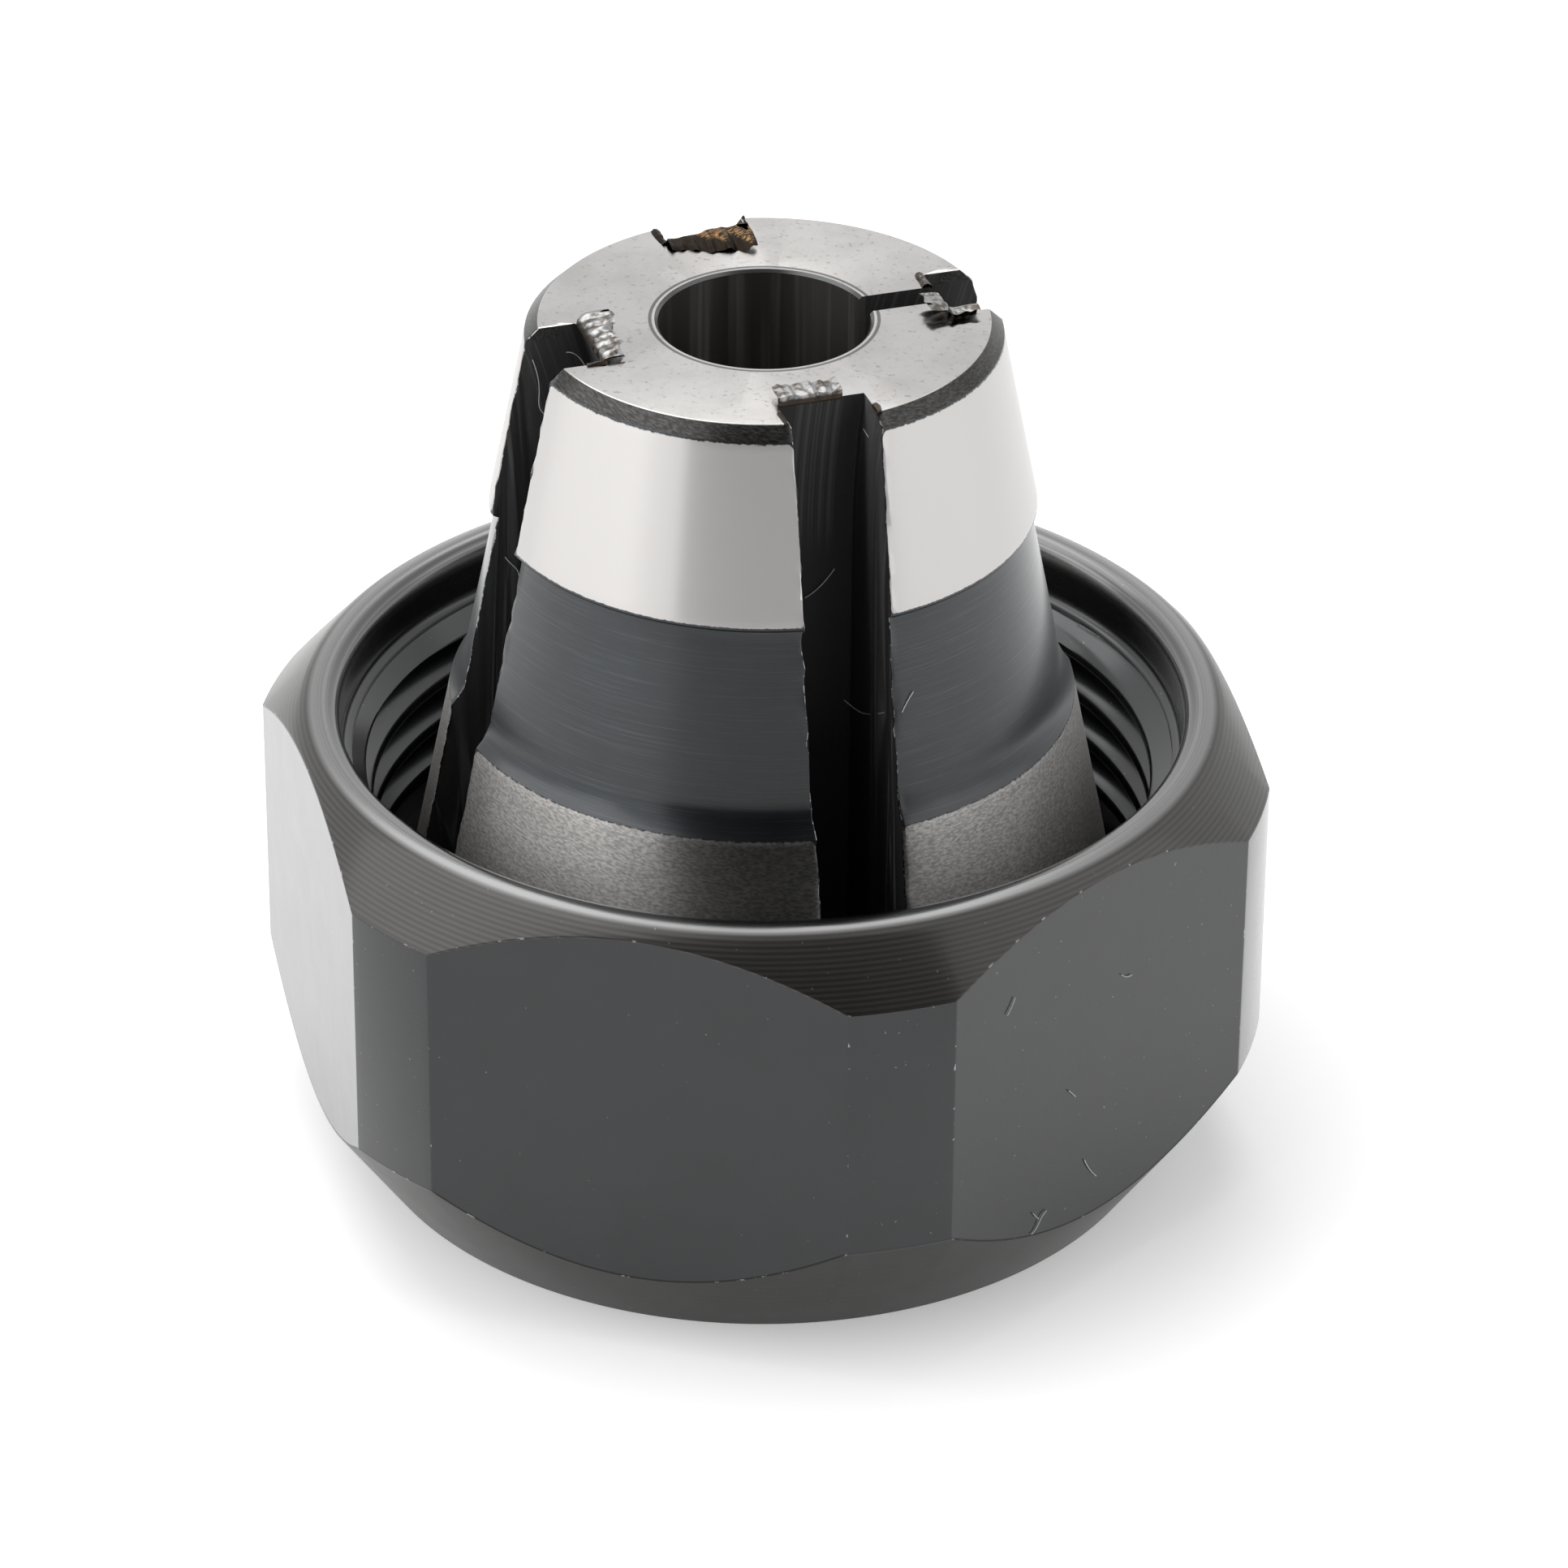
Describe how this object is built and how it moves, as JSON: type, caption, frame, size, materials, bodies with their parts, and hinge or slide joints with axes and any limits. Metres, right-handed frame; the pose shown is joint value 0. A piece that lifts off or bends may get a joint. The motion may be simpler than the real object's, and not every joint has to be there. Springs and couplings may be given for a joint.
{
  "type": "router collet",
  "caption": "Slotted taper collet for a quarter-inch router bit shank, held captive and free to turn in its hexagonal collet nut by a retaining ring.",
  "frame": {"origin": "middle of the nut's front face, on the common axis of nut and collet", "axes": "+Z along the common axis towards the collet's narrow end and the spindle; +X towards a rounded corner of the hexagon; +Y out of one of its flats"},
  "size_m": [0.0313, 0.0286, 0.0276],
  "materials": {
    "black_oxide": "black oxide over turned and milled steel",
    "ground_steel": "ground taper bands, black oxide in the relief and grooves",
    "spring_steel": "oiled dark spring steel"
  },
  "bodies": {
    "nut": {"collet_nut": "black_oxide"},
    "ring": {"retaining_ring": "spring_steel"},
    "collet": {"collet": "ground_steel"}
  },
  "joints": [
    {"name": "collet_float", "type": "slide", "parent": "nut", "child": "ring", "axis": [0, 0, 1], "range_m": [0, 0.0005]},
    {"name": "collet_turn", "type": "hinge", "parent": "ring", "child": "collet", "pos_m": [0, 0, 0.0015], "axis": [0, 0, 1], "continuous": true}
  ]
}
